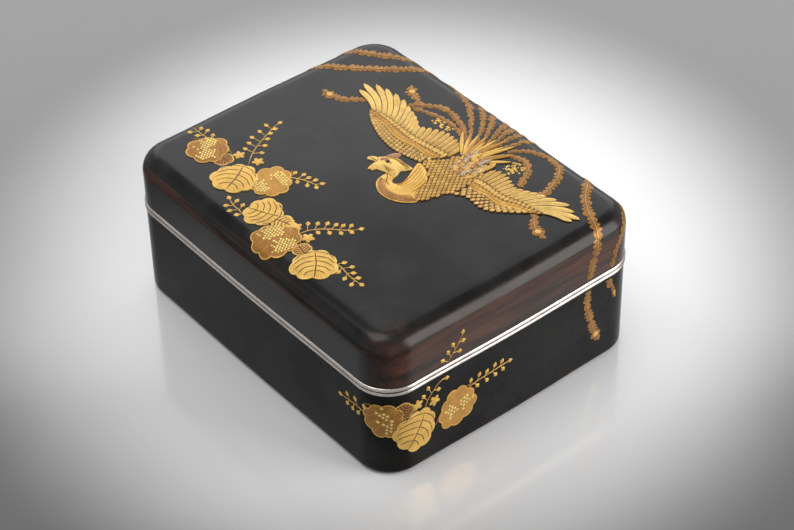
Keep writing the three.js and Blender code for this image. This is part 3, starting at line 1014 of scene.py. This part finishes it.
def build_plumes():
    """Long plumes that sweep out from the tail, over the edges of the lid and down its walls."""
    work = Relief(skin)
    fan = [
        [(6, 38.5), (-3, 47), (-12, 53.5), (-22, 57.5), (-31, 61), (-41, 69), (-47, 79)],
        [(8, 40), (1, 49), (-7, 56), (-16, 64), (-24, 76), (-29, 86)],
        [(9.5, 41), (4, 50), (-3, 58), (-9, 67), (-13, 80)],
        [(11, 42), (7.5, 51), (4, 59), (-1, 68), (-3, 82)],
        [(12.5, 43), (10, 52), (8.5, 60), (6, 70), (6, 86)],
        [(14, 43), (13.3, 52), (13.5, 60), (13, 72), (15, 80)],
        [(15.5, 43), (17.3, 51), (19, 57.5), (20.5, 66), (23, 84)],
    ]
    for number, path in enumerate(fan):
        plume(work, above_rim(path), 2.9, eye=number in (0, 2, 4, 6), tone=TAN, start=0.4)
    plume(work, [(5, 38), (-2, 42.5), (-10, 45.4), (-18, 45.6), (-25, 40.3), (-28, 36.5)], 3.0, start=0.5)
    plume(work, [(4, 37), (-3, 40.6), (-11, 41.3), (-19, 39.4), (-25.5, 37)], 2.4, tone=TAN)
    plume(work, [(-23, 40.5), (-27.5, 41.3), (-31, 42.3), (-34, 43.7), (-37.8, 46.2)], 3.4, eye=True)
    plume(work, [(-38, 29), (-41.5, 26.4), (-46, 21.6), (-50.8, 18.7), (-58, 18.2)], 3.5, eye=True)
    plume(work, [(18.5, 42), (22, 45.6), (26.5, 47), (31, 45.6), (34.5, 41), (37.5, 35)], 3.0)
    outer_arc = [(19, 46), (22, 50.5), (28, 54.2), (34, 55.4), (39.5, 53.4), (43.5, 48), (45.8, 42),
                 (46.6, 36.5)]
    plume(work, outer_arc, 3.4)
    plume(work, [(51, 31), (54, 27.8), (57.3, 24.8), (60.3, 23.3), (66, 22.6)], 3.6, eye=True)
    sweeps = [
        [(34, 84), (40, 72), (46, 64), (52, 56), (58, 49.2), (65, 44.3), (73, 41), (81, 38.2), (88, 36.4),
         (92.6, 35.8)],
        [(56, 80), (61, 70), (66.5, 62), (73, 56.8), (80, 52.5), (87, 48.8), (92.6, 46.8)],
        [(-26, 78), (-33, 68), (-39.5, 60.5), (-45, 53.5), (-52, 45.5), (-59, 38.3), (-66, 31.5), (-75, 24),
         (-86, 18), (-92.6, 15.5)],
        [(-38, 77), (-44, 67), (-49, 60), (-55, 54.3), (-62, 49), (-70, 43.5), (-79, 37), (-87, 32),
         (-92.6, 29.6)],
    ]
    for number, path in enumerate(sweeps):
        plume(work, above_rim(path), 3.9, tone=TAN, start=0.85)
    work.finish("lid_plumes", "lid", GOLD)
    lower = Relief(skin)
    ends = [
        ([(97.6, 35.2), (103, 34.8), (108, 35.6), (113, 37.2), (118, 38.6), (125.4, 42)], 3.6),
        ([(97.6, 45.8), (100, 46.2), (102.5, 48), (105, 51), (107.5, 56)], 3.4),
        ([(-97.6, 13.6), (-103, 11.6), (-109, 10.6), (-116, 10), (-122, 12)], 3.6),
        ([(-97.6, 27.6), (-103, 25.4), (-108, 24.6), (-114, 25.4)], 3.4),
    ]
    for path, width in ends:
        plume(lower, path, width, eye=True, start=0.95)
    lower.finish("body_plumes", "box", GOLD)


LEFT_BASE = [(8, 28.5), (2, 27.8), (-8, 26.2), (-18, 25.8), (-27, 25.4), (-32.5, 23.2)]
LEFT_EDGE = [(-32, 21.8), (-27, 18.6), (-20, 15.7), (-12, 14.1), (-5, 14.6), (3, 16.6)]
LEFT_TIPS = [
    (5.5, 35.6), (3.4, 36.3), (1, 36.7), (-1.4, 36.9), (-3.8, 36.9), (-6.2, 36.3), (-8.6, 35.2),
    (-10.9, 33.7),
    (-13, 32.1), (-15.2, 31.1), (-18.2, 32.9), (-20.8, 34.3), (-23.6, 35.3), (-27, 36.3), (-31.6, 37.6),
    (-36.6, 37.8), (-41.6, 37.2), (-46.2, 36), (-49.9, 32.7), (-47.8, 28.9),
]
RIGHT_BASE = [(24.5, 27.6), (30, 27.3), (37, 27.8), (44, 28.8), (49, 29.6), (52.5, 30.6)]
RIGHT_EDGE = [(52, 29.4), (48, 24.6), (44, 20.4), (40.5, 17.2), (36.6, 15.8), (32, 16.2), (28, 15.9),
              (25, 13.6)]
RIGHT_TIPS = [
    (24.6, 35), (26.5, 36.4), (28.8, 36.6), (31, 36.2), (33.2, 35.5), (35.4, 34.7), (37.6, 34.1),
    (39.8, 35.1),
    (42.4, 36.4), (45, 37.9), (48, 39.2), (52.2, 40.5), (57.6, 41.9), (61.6, 40.5), (65.9, 39.1),
    (64.9, 36.1),
]


def wing(work, base_line, tips, edge, body_side):
    """Flight feathers, then two rows of coverts, then scales down to the wing's front edge."""
    base_curve = smooth_line(base_line, 10)
    edge_curve = smooth_line(edge, 10)
    if np.hypot(*(base_curve[0] - edge_curve[0])) > np.hypot(*(base_curve[0] - edge_curve[-1])):
        edge_curve = edge_curve[::-1]
    plate(work, np.vstack([base_curve[::2], edge_curve[::-2]]), 0.06, DARK, 0.06, closed_curve=False)
    count = len(tips)
    for i, tip in enumerate(tips):
        share = (i + 0.4) / count
        root = between(on_curve(base_curve, share), on_curve(edge_curve, share), 0.12)
        outer = i / (count - 1)
        tone = blend_colours(WARM, PALE, np.array(0.35 + 0.6 * outer))
        bend = -0.07 * body_side * (0.3 + outer)
        feather(work, root, tip, 2.55 + 0.75 * outer, bend, 0.12 + 0.002 * i, tone, 0.3, lean=body_side)
    for row, (depth, size) in enumerate(((0.14, 4.2), (0.3, 3.4))):
        number = int(count * 1.15)
        for i in range(number):
            share = (i + 0.5 + 0.5 * (row % 2)) / (number + 0.5)
            top = on_curve(base_curve, share)
            low = on_curve(edge_curve, share)
            root = between(top, low, depth + 0.2)
            heading = (np.asarray(tips[min(int(share * count), count - 1)]) - root)
            heading = heading / np.hypot(*heading)
            scale_feather(work, root, heading, size, 2.2, 0.3 + 0.06 * row, (BRIGHT, WARM)[row % 2])
    ridge = []
    for share in np.linspace(0.03, 0.97, 16):
        depth = 0.34 + 0.05 * math.sin(share * 14)
        ridge.append(between(on_curve(base_curve, share), on_curve(edge_curve, share), depth))
    for offset, tone in ((0.0, BRIGHT), (0.75, WARM), (1.5, BRIGHT)):
        line(work, [(x, y - offset) for x, y in ridge], 0.6, 0.36, tone, 0.2)
    rows = 5
    for row in range(rows):
        depth = 0.98 - 0.6 * (rows - 1 - row) / (rows - 1) * 0.9
        length = np.hypot(*np.diff(base_curve, axis=0).T).sum()
        number = int(length / 1.95)
        for i in range(number):
            share = (i + 0.5 * (row % 2) + 0.25) / number
            if share >= 1:
                continue
            top = on_curve(base_curve, share)
            low = on_curve(edge_curve, share)
            root = between(top, low, depth)
            ahead = on_curve(base_curve, min(share + 0.1, 1.0))
            tipward = ahead - on_curve(base_curve, max(share - 0.1, 0.0))
            heading = (top - low) / np.hypot(*(top - low)) + 0.9 * tipward / np.hypot(*tipward)
            tone = blend_colours(WARM, PALE, np.array(SHADES.uniform(0.3, 1)))
            scale_feather(work, root, heading, 2.15, 1.8, 0.2 + 0.03 * row, tone)


SHADES = random.Random(9)
BODY_OUTLINE = [
    (3, 16.6), (6, 21), (9, 27), (12, 33), (17, 36), (22, 34), (24.6, 28), (25, 20), (25, 13.8),
    (23.6, 11), (22.6, 7),
    (21, 2.6), (19, -0.6), (16.5, 0.5), (15.8, 4), (15, 8), (13, 12), (9, 15.2),
]
NECK_OUTLINE = [
    (3, 16.3), (7, 15.8), (11, 13.6), (14, 10.6), (15.6, 6.5), (17, 3.5), (20.2, 1.2), (18.6, -1.8),
    (15.6, -4.4),
    (12, -6), (8, -6.3), (4.6, -5.3), (1.8, -3.2), (0.4, -0.6), (0.2, 2.6), (1.6, 3.6), (3.2, 6.2),
    (3.9, 4.6),
    (4.4, 2.6), (5.6, 1.3), (7.2, 1.7), (8.1, 3.6), (7.6, 6.2), (6, 9.6), (4.4, 12.4),
]
HEAD_OUTLINE = [
    (4.3, 12.1), (0, 12), (-4, 11.9), (-7, 10.4), (-8.8, 7.8), (-9.6, 6.8), (-11.4, 5.6), (-12, 4.2),
    (-11.2, 3.2),
    (-9.4, 4), (-7.9, 4.2), (-7.3, 2.4), (-4.4, 1.9), (-2, 2.7), (0.2, 3.2), (2.6, 2.2), (4, 4.4),
    (3.2, 6.4),
    (2.7, 7.6), (3.8, 9.6),
]


COMB_OUTLINE = [(-8, 9), (-7.8, 12), (-6.6, 14.2), (-5, 14.4), (-4.2, 12.6), (-4.6, 11), (-6.5, 9.4)]
WATTLE_OUTLINE = [(-7.4, 2.8), (-7.1, 0.8), (-6.4, -0.6), (-5.6, 0.1), (-4.7, 0), (-4.5, 2.2), (-5.8, 3)]
CHEEK_OUTLINE = [(-7.9, 6.6), (-6.4, 8.8), (-3.6, 9.8), (-0.8, 9.2), (-0.2, 8), (-2.4, 6.6), (-5.4, 5.5)]
EYE_OUTLINE = [(-6.4, 7.2), (-4.9, 8.3), (-3.3, 8.2), (-2.4, 7.7), (-4, 6.9), (-5.4, 6.7)]


def inside_outline(points, place):
    rim = np.asarray(points)
    hit = False
    for a, b in zip(rim, np.roll(rim, -1, axis=0)):
        if (a[1] > place[1]) != (b[1] > place[1]):
            if place[0] < a[0] + (place[1] - a[1]) * (b[0] - a[0]) / (b[1] - a[1]):
                hit = not hit
    return hit


def build_body_feathers(work):
    """Scales over the breast and back, each pointing towards the tail."""
    plate(work, BODY_OUTLINE, 0.12, DARK, 0.1)
    row = 0
    y = -1.5
    while y < 33:
        x = 2.5 + 0.95 * (row % 2)
        while x < 25.5:
            if inside_outline(BODY_OUTLINE, (x, y + 0.4)):
                lean = (x - 15) * 0.012
                shade = blend_colours(TAN, BRIGHT, np.array(SHADES.uniform(0.45, 1)))
                lift = 0.26 + 0.1 * min(1, max(0, (26 - abs(x - 15) * 2) / 26))
                scale_feather(work, (x, y), (-0.18 + lean, 1), 2.2, 1.75, lift, shade)
            x += 1.9
        y += 1.35
        row += 1


def build_rump(work):
    """Curled feathers where the tail springs, silvered and rose."""
    for row, (y, count, spread) in enumerate(((24, 5, 9.5), (27, 6, 11), (30, 6, 11.5), (33, 5, 9.5))):
        for i in range(count):
            side = (i + 0.5) / count - 0.5
            x = 17.2 + side * spread
            tip = (x + side * 3.4 - 0.6, y + 4.6)
            tone = (SILVERED, BRIGHT, ROSE)[(i + row) % 3]
            bend = 0.12 if i % 2 else -0.12
            feather(work, (x, y - 1.2), tip, 2.3, bend, 0.42 + 0.03 * row, tone, 0.55, 0.26)
            dot(work, between((x, y - 1), tip, 0.62), 0.55, 0.7 + 0.03 * row, 0.1, WARM, PALE)


def build_tail_spikes(work):
    """Pointed golden feathers that fan out behind the back."""
    tips = [
        (24.6, 42.8), (22.2, 46.6), (18.3, 49.7), (13.6, 49.7), (10.8, 47.4), (7, 46.7), (4.2, 44.6),
        (1.6, 43.4),
        (-1.4, 41.6), (20.2, 44.2), (16, 46.6), (12.4, 45.2), (9.2, 43.6), (6.2, 42), (3.2, 40.4),
    ]
    for i, tip in enumerate(tips):
        back = i >= 9
        root = between((16.8, 30), (12 + (tip[0] - 12) * 0.32, 32), 0.8)
        feather(work, root, tip, 1.6 if back else 1.9, 0.02, 0.2 + 0.09 * back, (BRIGHT, WARM)[i % 2], 0.72)


def build_neck_and_head(work):
    plate(work, NECK_OUTLINE, 0.2, BRIGHT, 0.5, spacing=1.0)
    throat = [(20.2, 1), (18.2, -1.9), (15.4, -4.2), (11.8, -5.6), (8, -5.8), (4.8, -4.9),
              (2.2, -2.9), (0.9, -0.4)]
    centre = np.array([9.2, 1.2])
    for k in range(9):
        share = k / 8
        path = [tuple(centre + (np.array(p) - centre) * (0.97 - 0.34 * share)) for p in throat]
        line(work, path, 0.26, 0.62 + 0.08 * share, (ROSE, WARM, TAN)[k % 3], 0.05)
    for k in range(6):
        share = k / 5
        start = between((4.6, 15.2), (12.8, 11.6), share)
        end = between((8.6, 4), (15, 5.2), share)
        bulge = between(start, end, 0.5) + np.array([0.5, 0.4])
        line(work, [start, bulge, end, end + np.array([-0.2, -2.6])], 0.22, 0.7, WARM, 0.04)
    plate(work, COMB_OUTLINE, 0.3, ROSE, 0.3, spacing=0.8)
    plate(work, HEAD_OUTLINE, 0.32, PALE, 0.42, spacing=0.8)
    plate(work, WATTLE_OUTLINE, 0.34, BRIGHT, 0.2, spacing=0.6)
    plate(work, CHEEK_OUTLINE, 0.62, REDDISH, 0.16, spacing=0.6)
    plate(work, EYE_OUTLINE, 0.76, WARM, 0.06, spacing=0.5)
    dot(work, (-4.6, 7.6), 0.75, 0.84, 0.12, INK, spokes=14)
    line(work, [(-9.6, 6.6), (-8.2, 6), (-7.6, 4.6)], 0.3, 0.62, TAN, 0.06)
    line(work, [(-11.6, 4.4), (-9.8, 4.9), (-8, 4.9)], 0.28, 0.6, TAN, 0.06)
    for k in range(4):
        path = [(-5 + k, 5.1 - 0.25 * k), (-1.6 + k * 0.5, 5.4 - 0.4 * k), (1.4, 6 - 0.9 * k),
                (2.8, 4.6 - 0.5 * k)]
        line(work, path, 0.22, 0.72, (WARM, TAN)[k % 2], 0.05)
    for k in range(4):
        path = [(-7.6 + 0.7 * k, 9.2 + 0.5 * k), (-3, 10.6 + 0.25 * k), (3.4, 10 + 0.5 * k)]
        line(work, path, 0.22, 0.68, (WARM, TAN)[k % 2], 0.05)
    line(work, [(0.3, 3.4), (2.4, 1.6), (4.2, -0.3), (6.6, -0.9)], 0.5, 0.62, TAN, 0.08)


def build_gold_dust():
    """Small squares of gold scattered by the roots of the plumes."""
    cuts = Relief(skin)
    draw = random.Random(21)
    for centre, spread, number in (((-9.5, 38.6), (5, 1.6), 26), ((28.4, 41), (3.4, 3.6), 44)):
        for _ in range(number):
            x = centre[0] + draw.uniform(-1, 1) * spread[0]
            y = centre[1] + draw.uniform(-1, 1) * spread[1]
            cut_square(cuts, x, y, draw.uniform(0.5, 1.0), draw.uniform(0, 1.5), 0.02, BRIGHT)
    cuts.finish("lid_gold_squares", "lid", CUT_GOLD)


def build_bird():
    wings = Relief(skin)
    wing(wings, LEFT_BASE, LEFT_TIPS, LEFT_EDGE, 1)
    wing(wings, RIGHT_BASE, RIGHT_TIPS, RIGHT_EDGE, -1)
    wings.finish("bird_wings", "lid", GOLD)
    trunk = Relief(skin)
    build_tail_spikes(trunk)
    build_body_feathers(trunk)
    build_rump(trunk)
    trunk.finish("bird_body_and_tail", "lid", GOLD)
    head = Relief(skin)
    build_neck_and_head(head)
    head.finish("bird_neck_and_head", "lid", GOLD)


build_plumes()
build_gold_dust()
build_bird()
build_paulownia_on_lid()
build_paulownia_on_body()


# Floor, light and camera

FLOOR_REACH = 3.0
# The floor's colour fades from FLOOR_PALE to FLOOR_DIM away from the middle of the view: a painted vignette,
# a pool of light painted on the floor.
FLOOR_PALE = 0.82
FLOOR_DIM = 0.12
VIGNETTE = (0.64, 1.34)
VIGNETTE_ALONG = 0.152
VIGNETTE_ACROSS = 0.139


def build_floor():
    mesh = bpy.data.meshes.new("floor")
    r = FLOOR_REACH
    mesh.from_pydata([(-r, -r, 0), (r, -r, 0), (r, r, 0), (-r, r, 0)], [], [(0, 1, 2, 3)])
    floor = bpy.data.objects.new("floor", mesh)
    bpy.context.scene.collection.objects.link(floor)
    made, tree, shader = material("pale_floor")
    place = put(tree, "ShaderNodeTexCoord").outputs["Object"]
    split = put(tree, "ShaderNodeSeparateXYZ", {"Vector": place})
    az = math.radians(CAMERA["azimuth"])
    centre_x, centre_y = floor_centre()
    x = math_node(tree, "SUBTRACT", split.outputs[0], centre_x)
    y = math_node(tree, "SUBTRACT", split.outputs[1], centre_y)
    squares = []
    for across_x, across_y, reach in (
        (-math.sin(az), math.cos(az), VIGNETTE_ALONG), (math.cos(az), math.sin(az), VIGNETTE_ACROSS),
    ):
        share_x = math_node(tree, "MULTIPLY", x, across_x)
        share_y = math_node(tree, "MULTIPLY", y, across_y)
        share = math_node(tree, "DIVIDE", math_node(tree, "ADD", share_x, share_y), reach)
        squares.append(math_node(tree, "MULTIPLY", share, share))
    far = math_node(tree, "SQRT", math_node(tree, "ADD", *squares))
    # Painted vignette: the floor is painted darker the further it lies from where the camera looks.
    painted_vignette = ramp(tree, far, *VIGNETTE)
    tree.links.new(mix(tree, painted_vignette, (FLOOR_PALE,) * 3, (FLOOR_DIM,) * 3), shader.inputs["Base Color"])
    tree.links.new(ramp(tree, noise(tree, 0.02, 2), 0.3, 0.7, 0.11, 0.15), shader.inputs["Roughness"])
    shader.inputs["IOR"].default_value = 1.8
    mesh.materials.append(made)


def area_light(name, azimuth, elevation, distance, width, height, radiance, aim=(0, 0, 0.03)):
    """A soft box seen from the object at this azimuth, counted from +X towards +Y."""
    data = bpy.data.lights.new(name, "AREA")
    data.shape = "RECTANGLE"
    data.size, data.size_y = width, height
    data.energy = radiance * math.pi * width * height
    light = bpy.data.objects.new(name, data)
    bpy.context.scene.collection.objects.link(light)
    a, e = math.radians(azimuth), math.radians(elevation)
    way = Vector((math.cos(a) * math.cos(e), math.sin(a) * math.cos(e), math.sin(e)))
    light.location = Vector(aim) + way * distance
    light.rotation_mode = "QUATERNION"
    light.rotation_quaternion = way.to_track_quat("Z", "Y")


def build_world():
    world = bpy.data.worlds.new("studio")
    bpy.context.scene.world = world
    world.use_nodes = True
    tree = world.node_tree
    background = tree.nodes["Background"]
    background.inputs["Color"].default_value = (0.98, 0.99, 1.0, 1)
    heading = put(tree, "ShaderNodeTexCoord").outputs["Generated"]
    height = put(tree, "ShaderNodeSeparateXYZ", {"Vector": heading}).outputs[2]
    tree.links.new(ramp(tree, height, 0.5, 0.75, 0.6, 0.34), background.inputs["Strength"])


# The camera, from the photograph's own perspective. Lengths here are in box lengths.
CAMERA = {
    "azimuth": 51.2993, "elevation": 40.1108, "roll": -1.2103, "focal": 2339.70, "distance": 5.8219,
    "right": -0.0383, "up": 0.0534, "aim": 0.4133 / 2, "unit": 0.1515,
}
IMAGE_WIDTH = 794
SENSOR = 36.0


def camera_frame():
    """The camera's right, up and back directions, and its place."""
    az, el, roll = (math.radians(CAMERA[k]) for k in ("azimuth", "elevation", "roll"))
    back = Vector((math.sin(az) * math.cos(el), -math.cos(az) * math.cos(el), math.sin(el)))
    level = Vector((math.cos(az), math.sin(az), 0))
    steep = back.cross(level)
    right = level * math.cos(roll) + steep * math.sin(roll)
    up = steep * math.cos(roll) - level * math.sin(roll)
    place = Vector((0, 0, CAMERA["aim"])) + back * CAMERA["distance"]
    place -= right * CAMERA["right"] + up * CAMERA["up"]
    return right, up, back, place * CAMERA["unit"]


def floor_centre():
    """Where the camera's axis meets the floor."""
    right, up, back, place = camera_frame()
    hit = place - back * (place.z / back.z)
    return hit.x, hit.y


def build_camera():
    right, up, back, place = camera_frame()
    data = bpy.data.cameras.new("photo_camera")
    data.sensor_width = SENSOR
    data.lens = SENSOR * CAMERA["focal"] / IMAGE_WIDTH
    data.clip_start, data.clip_end = 0.01, 20
    camera = bpy.data.objects.new("photo_camera", data)
    bpy.context.scene.collection.objects.link(camera)
    camera.matrix_world = Matrix.Translation(place) @ Matrix((right, up, back)).transposed().to_4x4()
    bpy.context.scene.camera = camera


build_floor()
build_world()
build_camera()
area_light("soft_box_right", 37, 24, 1.5, 0.94, 1.12, 5.2)
area_light("soft_box_behind", 141, 27, 1.3, 1.5, 0.74, 1.55)
area_light("soft_box_top", 240, 72, 1.4, 0.9, 0.9, 3.1)
bpy.context.scene.view_settings.view_transform = "Standard"
